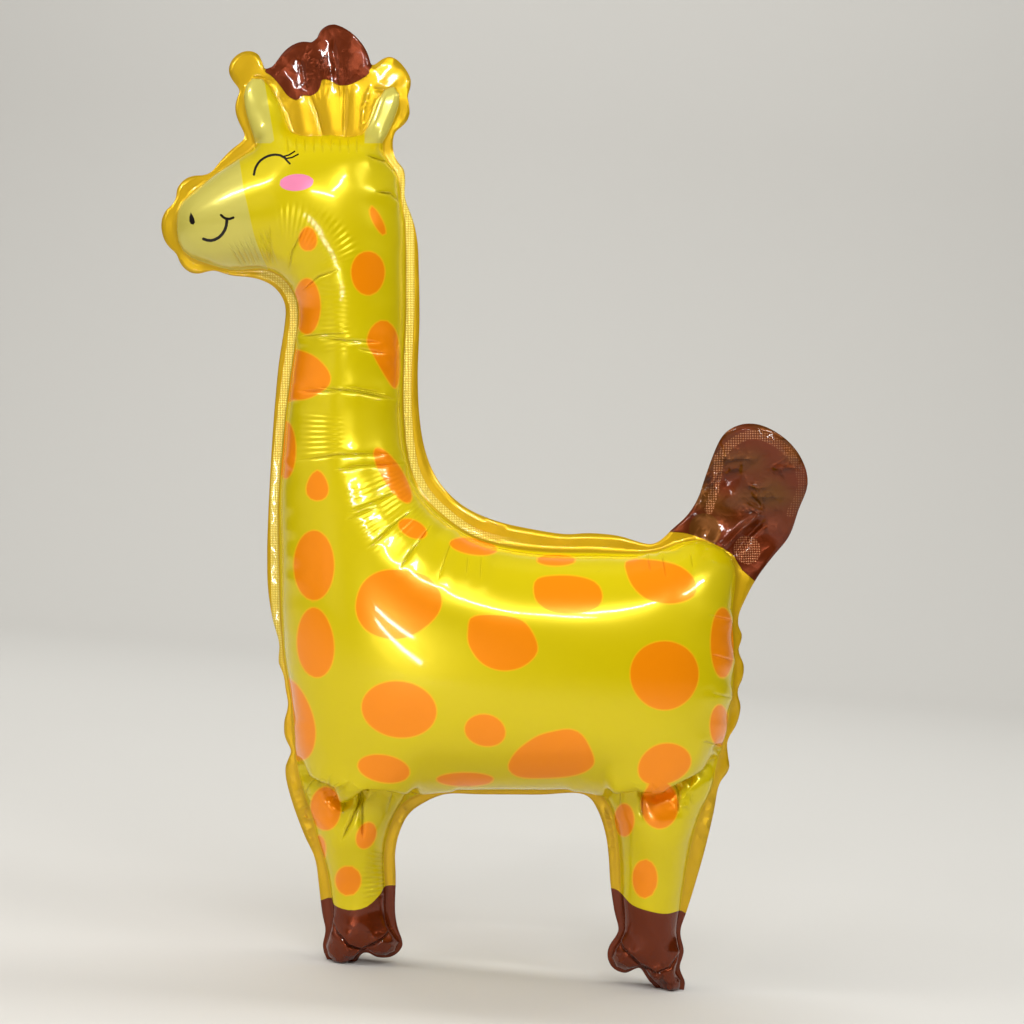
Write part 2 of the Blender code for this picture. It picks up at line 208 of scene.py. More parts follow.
# Each point has its twin straight across on the other sheet, and where the two nearly touch is the seam
_, pair = np.unique(np.round(solid[:, [0, 2]] * MATCHED_TO).astype(int), axis=0, return_inverse=True)
pair = pair.reshape(-1)
near = np.full(pair.max() + 1, np.inf)
far = np.full(pair.max() + 1, -np.inf)
np.minimum.at(near, pair, solid[:, 1])
np.maximum.at(far, pair, solid[:, 1])
middle = ((near + far) / 2)[pair]
half = np.maximum(((far - near) / 2)[pair] - FLAT_SEAM / 2, 0)
seam = half < FLAT_SEAM / 10
half[seam] = 0
flat_x, flat_z = drawn(solid).T
waves_left = np.full(len(solid), CALM)
for share, left, right, foot, top in WAVY_ZONES:
    waves_left[(flat_x > left) & (flat_x < right) & (flat_z > foot) & (flat_z < top)] = share
solid[seam, 1] += (middle * (waves_left - 1))[seam]
chamber_face = ~seam[corners].all(1)
weld = rim_of(corners[chamber_face])
weld = [drawn(solid[weld[:, end]]) for end in (0, 1)]
slope = slope_of_square(solid, corners, half, chamber_face)
cut = solid.copy()
cut[:, [0, 2]] -= WIDER_WHEN_FLAT * SLACK * slope
cut[:, 1] = middle + np.sign(solid[:, 1] - middle) * (FLAT_SEAM / 2 + half * math.sqrt(1 - SLACK))
cut[seam] = solid[seam]
on_table = solid[:, 2] < ON_TABLE
cut[on_table] = solid[on_table]

keep("seam", seam)
film.shape_key_add(name="cut")
blown = film.shape_key_add(name="blown")
put(film.data.shape_keys.key_blocks["cut"].data, cut)
put(blown.data, solid)
held = film.vertex_groups.new(name="held")
held.add(np.nonzero(seam | on_table)[0].tolist(), 1.0, "REPLACE")
go_to("EDIT")
bpy.ops.mesh.select_all(action="SELECT")
bpy.ops.mesh.subdivide(number_cuts=CUTS)
go_to("OBJECT")

blown = film.data.shape_keys.key_blocks["blown"]
blown.value = 0
blown.keyframe_insert("value", frame=1)
blown.value = 1
blown.keyframe_insert("value", frame=BLOWN_BY)
bpy.ops.object.modifier_add(type="CLOTH")
air = film.modifiers[-1]
air.settings.quality = STEPS_A_FRAME
air.settings.mass = FILM_MASS
air.settings.tension_stiffness = FILM_STRETCH
air.settings.compression_stiffness = FILM_STRETCH
air.settings.shear_stiffness = FILM_STRETCH / 2
air.settings.bending_stiffness = FILM_BEND
air.settings.air_damping = AIR_DRAG
air.settings.use_pressure = True
air.settings.uniform_pressure_force = AIR_PRESSURE
air.settings.vertex_group_mass = "held"
air.settings.effector_weights.gravity = 0
air.collision_settings.use_collision = False
air.point_cache.frame_end = LAST_FRAME
for moment in range(1, LAST_FRAME + 1):
    bpy.context.scene.frame_set(moment)
swollen = bpy.data.meshes.new_from_object(film.evaluated_get(bpy.context.evaluated_depsgraph_get()))
solid = places_of(blown.data)
film.modifiers.clear()
film.shape_key_clear()
film.animation_data_clear()
film.data = swollen
bpy.context.scene.frame_set(1)
# The run swells a little past the solid. That slow drift is taken off again and the folds are left.
place = places_of(film.data.vertices)
inner = ~on_seam()
drift = levelled(place - solid, edges_of(film.data), inner, DRIFT_ROUNDS)
away = step(np.abs(solid[:, 1]), *DRIFT_FROM)
place[inner] -= (away[:, None] * drift)[inner]
place[:, 1] *= np.ptp(solid[:, 1]) / np.ptp(place[:, 1])
put(film.data.vertices, place)

# The creases
# The film can't shorten, so it folds where the outline bends inwards: across the neck, round the throat,
# in a fan at the root of the neck, and in pleats at the top of each leg. Each crease is a sharp
# valley between low shoulders that runs out at both ends, given as its depth and its line.
FOLDS = (
    (1.0, (-142.7, 475), (-142.5, 462), (-141.3, 448.6)),
    (1.5, (-120.5, 474), (-129, 458), (-131.5, 444.4)),
    (1.6, (-124, 433), (-112.9, 442), (-99, 447)),
    (1.4, (-126, 405), (-110, 406.4), (-93.5, 406.7)),
    (1.4, (-113, 403.8), (-95, 402.6), (-72, 401.5)),
    (1.0, (-90, 397.9), (-68.5, 394.2)),
    (1.1, (-127, 371.4), (-98.2, 370.7)),
    (1.7, (-114, 373.8), (-88, 370.6), (-63, 365.7)),
    (1.0, (-97, 374.4), (-69.8, 369.7)),
    (1.5, (-128, 328), (-100, 332), (-65, 332.4)),
    (1.3, (-104, 322), (-88.8, 324.8), (-58.6, 326.3)),
    (1.0, (-95.5, 295.6), (-62.5, 309)),
    (0.7, (-97, 290.8), (-76.5, 299)),
    (1.1, (-82.4, 273.8), (-51.5, 300)),
    (1.1, (-62.6, 261), (-41.5, 289.6)),
    (0.9, (-38.6, 254), (-28.6, 282)),
    (0.6, (-21.1, 255), (-19.4, 270)),
    (0.6, (-12.1, 253.5), (-11, 272)),
    (0.8, (91.3, 272), (93.4, 259)),
    (0.9, (99.8, 272), (103.6, 254.6)),
    (0.8, (118, 272), (120, 261)),
    (2.6, (-84, 518), (-70.3, 514), (-63, 505)),
    (2.2, (-77, 495), (-67.5, 494), (-61, 488)),
    (0.8, (128, 233), (146, 229)),
    (0.8, (131, 208), (146, 204)),
    (0.7, (131, 184), (145, 181)),
    (0.8, (124, 155), (139, 150)),
    (4.2, (-82.6, 126), (-98.6, 92)),
    (3.8, (-85.2, 125), (-85.2, 93)),
    (3.6, (-104, 44), (-101.6, 36), (-93.8, 27), (-86, 24.6), (-79.2, 27.6), (-71, 33), (-65, 42)),
    (3.4, (71, 38), (76, 26), (86, 15.5), (97, 10), (106, 14), (113, 26)),
    (1.4, (-100, 121), (-97, 108)),
    (1.4, (-116, 134), (-121, 122), (-117, 112)),
    (1.2, (-113, 131), (-106, 120)),
    (1.2, (-66, 122), (-70, 110)),
    (2.4, (88.4, 127), (87.6, 105)),
    (2.2, (110.8, 130), (110.6, 108)),
    (1.2, (73, 122), (74, 113)),
    (1.2, (124, 136), (117, 124)),
)
# Small pleats stand side by side along the foot of the crown and under the chin
PLEAT = 0.9
CROWN_PLEATS, CHIN_PLEATS = np.arange(-132, -88, 5.4), np.arange(-169, -147, 3.1)
FOLDS += tuple((PLEAT, (x, 530), (x + 0.6, 518)) for x in CROWN_PLEATS)
FOLDS += tuple((PLEAT, (x, 473 - 0.45 * (-148 - x)), (x + 9.5, 448)) for x in CHIN_PLEATS)
FOLD_CORE, FOLD_SHOULDER = 0.7, 1.8  # half widths, millimetres of the drawing
FOLD_REACH = 5 * FOLD_SHOULDER
CORE_PART, SHOULDER_PART, RISE_PART = 0.4, 0.12, 0.06  # of a crease's depth
RISE_OFF = 1.6 * FOLD_SHOULDER  # how far off its line the film rises on both sides
FOLD_RUN_OUT, ROOT_RUN_OUT, SEAM_RUN_OUT = 0.3, 0.12, 0.25  # part of the line over which each end runs out
CRISP_DEPTH_MOST = 2.0
CRISP_NEAR, CRISP_GONE = 1.0, 1.7  # how far from its line a crease is still sharp
OFF_WELD = (1.0, 12.0)  # how far the film stands out where creases begin, and where they are full
RIPPLES = (
    # middle of the fan, its inner and outer reach, the sector in degrees, the pitch and the depth
    ((-21, 323), (62, 80), (184, 226), 2.7, 0.06),
    ((-133, 438), (24, 54), (14, 104), 4.6, 0.1),
    ((60, 345), (156, 188), (175, 186), 1.08, 0.11),
    ((6, 350), (66, 104), (198, 230), 2.1, 0.05),
    ((30, 420), (122, 144), (170, 192), 1.35, 0.09),
    ((-10, 72), (58, 78), (164, 196), 2.4, 0.22),
)
RIPPLES_IN_MESH = 0.6  # how much of their depth the mesh carries, besides the material's relief
FAN_RIM, FAN_SIDE = 3, 5  # a fan fades in over one part in so many of its depth, and of its sector
FAN_SPLIT = 0.2  # how far inside a fan the mesh is split
NEAR_FOLD, NEAR_CORE = 7.0, 2.1  # how far from a crease the mesh is split once, and once more
# Where a leg begins, the body's film hangs over the top of the leg as a lip, with a groove under it
ROOTS = (
    ((-127, 145), (-121, 136), (-112.3, 131.5), (-106.1, 129), (-103, 121), (-98, 117), (-88, 121.5),
     (-82.4, 126.5), (-71.3, 125.6), (-57, 123.4), (-48, 123.4)),
    ((64, 122.6), (85.2, 125.4), (97, 123.2), (103, 124.4), (109, 128.6), (116, 132.3), (126, 137),
     (136, 146)),
)
LIP_DROP, LIP_REACH = 7.0, 17.0
LIP_EDGE, LIP_FULL_TO = (0.5, 5.0), 6.0
LIP_MARGIN = 3  # how far past the lip the mesh is split
GROOVE_DEPTH, GROOVE_WIDTH, GROOVE_BELOW = 6.2, 3.2, 1.5
# Folds of the welded film beyond the seam: height towards the giraffe's left, half width, and the line
SEAM_FOLDS = (
    (3.4, 1.6, (165, 297), (151, 285), (136, 272)),
    (-3.0, 1.9, (167.5, 293), (155.6, 280.5), (142, 267)),
    (1.3, 1.5, (168, 288), (154, 278)),
    (0.9, 1.2, (127, 316), (136, 321), (143, 323)),
    (-0.7, 1.5, (127, 311), (137, 316), (146, 318)),
    (0.6, 0.9, (168, 323.5), (180, 324.4)),
    (0.5, 0.8, (155.5, 314.5), (161.5, 311)),
    (0.7, 1.0, (153.6, 303.5), (166.5, 297.4)),
    (0.6, 1.0, (150.2, 331), (152, 316)),
    (1.4, 6.0, (130, 300), (160, 312), (186, 318)),
    (0.7, 2.4, (128, 334), (136, 326), (134, 315)),
    (0.6, 2.2, (136, 332), (144, 324), (150, 329)),
    (0.6, 2.0, (167, 326), (175, 322), (182, 324)),
    (1.1, 0.8, (157, 310), (163, 303), (166, 296)),
    (1.2, 0.9, (130, 309), (136, 319), (142, 331)),
    (-0.9, 2.4, (141, 312), (155, 324), (168, 334)),
    (-1.1, 0.8, (-118, 556), (-113.6, 543), (-109.4, 527)),
    (-1.1, 0.8, (-95.8, 564), (-96.6, 527)),
    (0.6, 4.6, (-108.4, 560), (-103, 524)),
    (0.5, 3.6, (-90, 564), (-90.6, 524)),
    (0.6, 4.0, (-126, 558), (-119.6, 524)),
    (0.9, 1.0, (-145, 567), (-138, 548), (-131, 528)),
    (0.7, 0.9, (-80, 562), (-85, 545), (-86, 528)),
    (-1.2, 1.0, (-154, 566), (-148, 565.6), (-141, 563)),
    (-1.2, 1.0, (-79, 559), (-72, 558), (-63, 553)),
    (-1.3, 1.2, (-104.5, 590), (-102.5, 577), (-101.4, 563)),
    (-1.0, 1.0, (-125, 580), (-122, 569), (-120.5, 558)),
    (1.0, 6.0, (-91, 600), (-92, 580), (-93, 562)),
    (0.8, 4.6, (-113, 590), (-112, 572), (-110, 558)),
    (0.9, 5.0, (-138, 574), (-131, 564), (-127, 552)),
)
SEAM_FOLD_REACH = 3  # half widths
SEAM_ROUNDS = 30  # how often the seam's facets are evened out
RIM_ROUNDS = 3  # and those of its outline
FILM_ROUNDS = 10  # and the blown film's, away from the weld
EVENED_FROM = (3.0, 9.0)  # how far the film stands out where that begins, and where it is full
ACROSS = 0.7  # an edge with more than this part of its length across the seam joins the two sheets
UPRIGHT = 0.3  # a face with less than this part of its normal across the seam is the sheets' cut edge
OFF_TABLE = 0.002  # metres, below which the outline stays as the table presses it
# The brow above the cheek is evened out more and stands out further: where its foot, top, left and right
# begin and where they are full, and how far the film stands out there
BROW_FOOT, BROW_TOP, BROW_LEFT, BROW_RIGHT = (466, 522), (538, 520), (-158, -138), (-66, -84)
BROW_THICK = (2, 12)
HEAD_ROUNDS, HEAD_EVENED = 28, 1.5
FULLER_HEAD = 4.2


def line_gap(spots, line):
    """Distance to the line, above zero on its left, and how far along it the nearest point is, 0 to 1."""
    line = np.array(line, float)
    along = line[1:] - line[:-1]
    length = np.linalg.norm(along, axis=1)
    offset = spots[:, None, :] - line[None, :-1, :]
    share = np.clip((offset * along).sum(2) / length**2, 0, 1)
    gap = np.linalg.norm(offset - share[:, :, None] * along, axis=2)
    nearest = gap.argmin(1)
    rows = np.arange(len(spots))
    left = along[:, 0] * offset[:, :, 1] - along[:, 1] * offset[:, :, 0]
    gap = np.where(left[rows, nearest] < 0, -1, 1) * gap[rows, nearest]
    run = np.concatenate([[0], np.cumsum(length)])
    return gap, (run[nearest] + share[rows, nearest] * length[nearest]) / run[-1]


def closest_fold(spots, lines):
    """Distance from each spot to the nearest line, and infinity well away from all of them."""
    best = np.full(len(spots), np.inf)
    for line in lines:
        line = np.array(line, float)
        low, high = line.min(0) - 2 * NEAR_FOLD, line.max(0) + 2 * NEAR_FOLD
        close = ((spots > low) & (spots < high)).all(1)
        if close.any():
            best[close] = np.minimum(best[close], np.abs(line_gap(spots[close], line)[0]))
    return best


def in_fan(spots, fan):
    """The angle of each spot in a fan, in degrees, and how far inside the fan it is, 0 to 1."""
    (x, z), (inner, outer), (first, last), _, _ = fan
    radius = np.hypot(spots[:, 0] - x, spots[:, 1] - z)
    angle = np.degrees(np.arctan2(spots[:, 1] - z, spots[:, 0] - x)) % 360
    edge = (outer - inner) / FAN_RIM
    share = step(radius, inner, inner + edge) * step(radius, outer, outer - edge)
    turn = (last - first) / FAN_SIDE
    return angle, share * step(angle, first, first + turn) * step(angle, last, last - turn)


def fading(along, run_out, past=0.02):
    """1 along a line and 0 a little past its ends, running out over this part of it at each end."""
    return step(along, -past, run_out) * step(along, 1 + past, 1 - run_out)


def split(chosen, smooth):
    """Splits each edge of the chosen faces once."""
    mesh = film.data
    near_face = chosen[corners_of(mesh)].all(1)
    mesh.vertices.foreach_set("select", np.zeros(len(mesh.vertices), bool))
    mesh.edges.foreach_set("select", np.zeros(len(mesh.edges), bool))
    mesh.polygons.foreach_set("select", near_face)
    go_to("EDIT")
    bpy.ops.mesh.select_mode(type="FACE")
    bpy.ops.mesh.subdivide(number_cuts=1, smoothness=smooth)
    bpy.ops.mesh.select_all(action="SELECT")
    bpy.ops.mesh.quads_convert_to_tris()
    go_to("OBJECT")


lines = [fold[1:] for fold in FOLDS]
seam_lines = [fold[2:] for fold in SEAM_FOLDS]
seen = drawn(places_of(film.data.vertices))
wanted = closest_fold(seen, lines + list(ROOTS)) < NEAR_FOLD
for root in ROOTS:
    wanted |= np.abs(line_gap(seen, root)[0]) < LIP_REACH + LIP_MARGIN
for fan in RIPPLES:
    wanted |= in_fan(seen, fan)[1] > FAN_SPLIT
wanted &= ~on_seam()
wanted |= on_seam() & (closest_fold(seen, seam_lines) < NEAR_FOLD)
split(wanted, 1.0)
seen = drawn(places_of(film.data.vertices))
wanted = ~on_seam() & (closest_fold(seen, lines) < NEAR_CORE)
wanted |= on_seam() & (closest_fold(seen, seam_lines) < NEAR_CORE)
split(wanted, 1.0)

place = places_of(film.data.vertices)
flat_part = on_seam()
edges = edges_of(film.data)
span = place[edges[:, 1]] - place[edges[:, 0]]
across = np.abs(span[:, 1]) > ACROSS * np.linalg.norm(span, axis=1)
place[:, 1:2] = levelled(place[:, 1:2], edges[~across], flat_part, SEAM_ROUNDS)
triangles = corners_of(film.data)
first, second, third = (place[triangles[:, k]] for k in range(3))
facing = np.cross(second - first, third - first)
cut_edge = flat_part[triangles].all(1) & (np.abs(facing[:, 1]) < UPRIGHT * np.linalg.norm(facing, axis=1))
rim = np.zeros(len(place), bool)
rim[triangles[cut_edge].ravel()] = True
rim &= place[:, 2] > OFF_TABLE
place = levelled(place, edges[~across], rim, RIM_ROUNDS)
even = levelled(place, edges, ~flat_part, FILM_ROUNDS)
place += step(np.abs(place[:, 1:2]) / DRAWN_MM, *EVENED_FROM) * (even - place)
seen = drawn(place)
brow = step(seen[:, 1], *BROW_FOOT) * step(seen[:, 1], *BROW_TOP) * step(seen[:, 0], *BROW_LEFT)
brow *= step(seen[:, 0], *BROW_RIGHT) * step(np.abs(place[:, 1]) / DRAWN_MM, *BROW_THICK)
even = levelled(place, edges, ~flat_part, HEAD_ROUNDS)
place += np.minimum(HEAD_EVENED * brow, 1)[:, None] * (even - place)
place[:, 1] += np.sign(place[:, 1]) * brow * FULLER_HEAD * DRAWN_MM
put(film.data.vertices, place)
seen = drawn(place)
normal = places_of(film.data.vertices, "normal")
blown_out = step(np.abs(place[:, 1]) / DRAWN_MM, *OFF_WELD)
inward = np.zeros(len(place))
crease_gap = np.full(len(place), NEAR_FOLD)
crease_depth = np.zeros(len(place))
for depth, *line in FOLDS:
    near_line = np.nonzero(closest_fold(seen, [line]) < FOLD_REACH)[0]
    gap, along = line_gap(seen[near_line], line)
    fade = fading(along, FOLD_RUN_OUT)
    valley = CORE_PART * np.exp(-((gap / FOLD_CORE) ** 2))
    valley += SHOULDER_PART * np.exp(-((gap / FOLD_SHOULDER) ** 2))
    rise = RISE_PART * np.exp(-(((np.abs(gap) - RISE_OFF) / FOLD_SHOULDER) ** 2))
    inward[near_line] += depth * fade * (valley - rise)
    closer = np.abs(gap) < np.abs(crease_gap[near_line])
    crease_gap[near_line[closer]] = gap[closer]
    crease_depth[near_line[closer]] = (depth * fade)[closer]
crease_depth *= step(np.abs(crease_gap), CRISP_GONE, CRISP_NEAR)
for fan in RIPPLES:
    angle, share = in_fan(seen, fan)
    inward += RIPPLES_IN_MESH * fan[4] * share * np.cos(2 * math.pi * angle / fan[3])
drop = np.zeros(len(place))
for root in ROOTS:
    gap, along = line_gap(seen, root)
    fade = fading(along, ROOT_RUN_OUT, past=0.0)
    inward += GROOVE_DEPTH * fade * np.exp(-(((gap + GROOVE_BELOW) / GROOVE_WIDTH) ** 2))
    drop += LIP_DROP * fade * step(gap, *LIP_EDGE) * step(gap, LIP_REACH, LIP_FULL_TO)
inward *= blown_out
inward[flat_part] = 0
drop[flat_part] = 0
place -= normal * (inward * DRAWN_MM)[:, None]
place[:, 2] -= drop * blown_out * DRAWN_MM
raised = np.zeros(len(place))
for height, width, *line in SEAM_FOLDS:
    near_line = np.nonzero(closest_fold(seen, [line]) < SEAM_FOLD_REACH * width)[0]
    gap, along = line_gap(seen[near_line], line)
    raised[near_line] += height * fading(along, SEAM_RUN_OUT) * np.exp(-((gap / width) ** 2))
place[flat_part, 1] -= raised[flat_part] * DRAWN_MM
put(film.data.vertices, place)
keep("crease", crease_gap)
keep("crease_depth", np.minimum(crease_depth, CRISP_DEPTH_MOST))

# The print
# Orange spots, a pale muzzle, a closed eye, a pink cheek and brown hooves, tuft and tail are printed on
# both sheets alike. Each mark is kept on the film as the distance to its edge, so that it stays sharp.
SPOTS = (
    # middle, half width, half height, tilt in degrees, narrowing towards the top
    (-119.1, 465.7, 5.7, 7.6, 0, 0.1),
    (-76, 477, 10.5, 3.0, -63, 0),
    (-81.9, 444.4, 10.6, 13.8, 0, -0.05),
    (-119.8, 424, 8.6, 17.5, 0, 0),
    (-133, 335, 6.5, 18, 0, 0),
    (-113.3, 312.8, 6.8, 9.5, 0, 0.3),
    (-66.5, 319.1, 20, 6.5, -58, 0),
    (-54.2, 286, 9.5, 5.5, -25, 0),
    (-16.4, 275.1, 15, 5.3, -8, 0),
    (34.7, 266.6, 12.4, 3.7, 0, 0),
    (-115.4, 263.3, 12.7, 21.9, 0, 0),
    (-114.5, 215.5, 11.6, 21.9, 4, 0.08),
    (101.9, 195, 21.4, 21.5, 0, -0.05),
    (-62.6, 174, 23.5, 17.6, -8, 0),
    (-9.2, 161.1, 12.9, 10, -12, 0.05),
    (-72.1, 137.2, 16.5, 8.6, -10, 0),
    (-21.6, 130.6, 18, 4.4, 0, 0),
    (101.6, 140.3, 17, 12.5, 20, 0.1),
    (138, 215.3, 7.6, 22, 0, 0),
    (136, 164, 6, 13, 0, 0),
    (-108.2, 112.5, 9.5, 13.6, 0, 0),
    (-83, 95.8, 8.7, 6, 68, 0),
    (-94.2, 67.7, 8.1, 9.4, 0, -0.05),
    (-112.3, 87, 4.5, 9, 0, 0),
    (77, 105.4, 6.3, 10.3, 0, 0),
    (99, 114.6, 11.7, 14.7, 0, 0),
    (89.8, 69, 7.9, 12.2, 0, 0),
)
ROUNDED = (
    ((-71.7, 415.6), (-79.4, 411.4), (-82.6, 402), (-78.4, 393), (-71.6, 381), (-65.6, 373),
     (-62.4, 379), (-62.3, 398), (-65, 409.5)),
    ((-136, 397.4), (-126, 397.2), (-115, 393), (-107, 385), (-105, 378.5), (-108, 373), (-118, 367),
     (-128, 365.6), (-137, 366)),
    ((-75, 259.6), (-58, 260.6), (-45, 256.4), (-37, 247), (-37, 236), (-45, 226), (-58, 218.4),
     (-72, 218), (-84, 224), (-89.6, 236), (-86, 251)),
    ((-17, 231.6), (0, 232.6), (14, 229), (21.6, 219), (23, 209), (14, 200.4), (1, 198), (-11, 202.4),
     (-19, 213), (-20, 223)),
    ((21, 252), (27, 256.4), (45, 257), (59, 253), (63.6, 244.6), (60, 237), (48, 233), (33, 234),
     (22.6, 241)),
    ((79, 266.4), (96, 266.6), (112, 262.6), (121.6, 253), (120, 244), (108, 239.6), (94, 241),
     (84, 248), (78.6, 258)),
    ((4.9, 138), (10, 148), (22, 157), (33, 160.5), (44, 161.7), (52, 157), (58.4, 143.5), (55.5, 137),
     (46, 133), (30, 131.4), (12, 132)),
    ((-137, 192), (-129, 192), (-122, 184), (-116.5, 172), (-114.3, 160), (-116, 149), (-121, 143),
     (-129, 143), (-137, 150)),
)
MUZZLE_EDGE = (
    (-163, 520), (-161.6, 514), (-160.2, 505.4), (-158.8, 496), (-156.4, 485.5), (-154.1, 475),
    (-151.7, 465.7), (-147.9, 456), (-144.1, 447.7), (-142, 440),
)
TUFT_EDGE = (
    (-156, 571), (-148, 569.6), (-142.2, 567), (-136.6, 561), (-131.8, 554.6), (-126.2, 551.8),
    (-122.4, 554.6), (-116.7, 554.6), (-112, 558.4), (-110.5, 564), (-105.3, 564), (-100.6, 561.2),
    (-94.9, 561), (-89.3, 563), (-82.6, 567), (-79.3, 570.7), (-70, 576),
)
TAIL_EDGE = (
    (100, 285), (106, 284), (116, 283), (130, 278), (144.5, 270), (149.4, 261.6), (158, 253.7), (166, 246),
)
HOOF_EDGES = (
    ((-120, 54), (-111.2, 55.7), (-104.8, 57.5), (-102.5, 52.7), (-93.6, 49.6), (-83, 51.5), (-74.7, 59),
     (-71.3, 64.4), (-64.7, 65), (-56, 66)),
    ((60, 64), (68.8, 63.3), (74.2, 61), (81.8, 53), (92.4, 49), (103, 47.3), (111.6, 49.3), (115.3, 47.7),
     (124, 46)),
)
TUFT_LEFT, TUFT_RIGHT, TUFT_FOOT = -145.8, -78.8, 545
TAIL_LEFT, TAIL_FOOT = 98, 244
HOOF_TOP, MUZZLE_TOP, HORN_FOOT = 75, 522, 525
LEFT_HORN_EDGE = ((-148, 575), (-140.4, 529.5), (-138.5, 518))  # the pale print's right edge
RIGHT_HORN_EDGE = -84.0  # and its left one on the other horn
# Knurled by the hot die: a band round the chamber, a second weld inside the tail's edge and a patch by it.
# The opening that the air went in by shows through the tail's print as a round of lighter brown.
TAIL_WELD = (
    (131, 298), (135.5, 313.6), (136.8, 329.3), (139, 333.6), (143.4, 338.8), (151.2, 343.2), (159, 344.5),
    (167.7, 341.4), (174.7, 337.1), (180.8, 331), (185.1, 324), (186.9, 315.3), (186, 308), (181, 296),
)
TAIL_WELD_HALF, TAIL_WELD_LEFT, TAIL_WELD_FOOT = 3.0, 110, 255
TAIL_PATCH = (154.7, 272.7, 9.2)  # middle and radius
PORT = (127.7, 285.3, 10.4)
WELD_BAND = 5.6
# Where the band's knurling begins and is full: from below, above, the right and the left
KNURL_FOOT, KNURL_TOP, KNURL_RIGHT, KNURL_LEFT = (180, 230), (525, 490), (20, -30), (-152, -146)
KNURL_PITCH, KNURL_DEPTH = 1.5, 0.12
STROKES = (
    # half width and line: the closed eye, its three lashes, the mouth and its corner
    (0.75, (-152.6, 505.6), (-152.2, 507.8), (-151.5, 510.1), (-150.2, 512.4), (-148.6, 514.3),
     (-146.5, 515.8),
     (-144.2, 517), (-141.8, 517.7), (-139.4, 518), (-136.4, 517.6), (-133.4, 516)),
    (0.5, (-134.2, 516.8), (-130.6, 517.9), (-127.4, 520)),
    (0.5, (-133.4, 515.4), (-129, 516.2), (-125.2, 518.2)),
    (0.6, (-133.2, 515.4), (-130.4, 512.4)),
    (0.95, (-183.9, 465.7), (-181.6, 464.9), (-179.2, 464.7), (-176.8, 465.3), (-174.4, 466.6),
     (-172.3, 468.6),
     (-170.6, 471.3), (-169.7, 474.1), (-169.4, 477)),
    (0.8, (-173, 480.5), (-171.6, 479.2), (-170.2, 478.4), (-167.8, 478.1), (-165.4, 478.9)),
)
NOSTRIL = (
    (-192.6, 483.6), (-191.6, 482), (-189.4, 478), (-189.3, 475.3), (-191, 474.2), (-192.7, 475.6),
    (-193, 479.5),
)
CHEEK = (-126.2, 500.7, 10.7, 5.2, 4, 0)
STROKE_SPLITS = (5.0, 3.6, 2.6)  # how near a stroke the mesh is split, time after time
FAR_OFF = 12.0  # stands for a distance that is too far to matter


def rim_gap(spots, starts, ends, at_once=4000):
    """Distance from each spot to the nearest of the edges."""
    along = ends - starts
    length = (along**2).sum(1)
    gaps = []
    for first in range(0, len(spots), at_once):
        offset = spots[first:first + at_once, None, :] - starts[None]
        share = np.clip((offset * along).sum(2) / length, 0, 1)
        gaps.append(np.linalg.norm(offset - share[:, :, None] * along, axis=2).min(1))
    return np.concatenate(gaps)


def oval(x, z, half_x, half_z, tilt, narrow, parts=40):
    """The outline of a spot, narrower towards its top by this share."""
    turn = np.linspace(0, 2 * math.pi, parts, endpoint=False)
    across = half_x * np.cos(turn) * (1 - narrow * np.sin(turn))
    up = half_z * np.sin(turn)
    tilt = math.radians(tilt)
    return np.column_stack([
        x + across * math.cos(tilt) - up * math.sin(tilt),
        z + across * math.sin(tilt) + up * math.cos(tilt),
    ])


def spline(before, start, end, beyond, parts=6):
    """A smooth line from each start to its end, by the points before and beyond them."""
    share = np.linspace(0, 1, parts, endpoint=False)[None, :, None]
    a, b, c, d = (side[:, None, :] for side in (before, start, end, beyond))
    line = b + share * (c - a) / 2 + share**2 * (a - 2.5 * b + 2 * c - d / 2)
    line = line + share**3 * (1.5 * b - a / 2 - 1.5 * c + d / 2)
    return line.reshape(-1, 2)


def rounded(loop):
    """A smooth closed line through the points of the loop."""
    loop = np.array(loop, float)
    return spline(np.roll(loop, 1, 0), loop, np.roll(loop, -1, 0), np.roll(loop, -2, 0))


def eased(line):
    """A smooth open line through its points."""
    line = np.array(line, float)
    line = np.vstack([2 * line[0] - line[1], line, 2 * line[-1] - line[-2]])
    return np.vstack([spline(line[:-3], line[1:-2], line[2:-1], line[3:]), line[-2:-1]])


def loop_gap(spots, loop):
    """Distance to the closed loop, below zero inside it."""
    closed = np.vstack([loop, loop[:1]])
    gap = np.abs(line_gap(spots, closed)[0])
    crossings = np.zeros(len(spots), int)
    for a, b in zip(closed[:-1], closed[1:]):
        spans = (a[1] > spots[:, 1]) != (b[1] > spots[:, 1])
        with np.errstate(divide="ignore", invalid="ignore"):
            crossings += spans & (spots[:, 0] < a[0] + (spots[:, 1] - a[1]) * (b[0] - a[0]) / (b[1] - a[1]))
    return np.where(crossings % 2 == 1, -gap, gap)


def height_over(spots, edge):
    """How far each spot is above an edge that runs from left to right."""
    edge = eased(edge)
    return spots[:, 1] - np.interp(spots[:, 0], edge[:, 0], edge[:, 1])


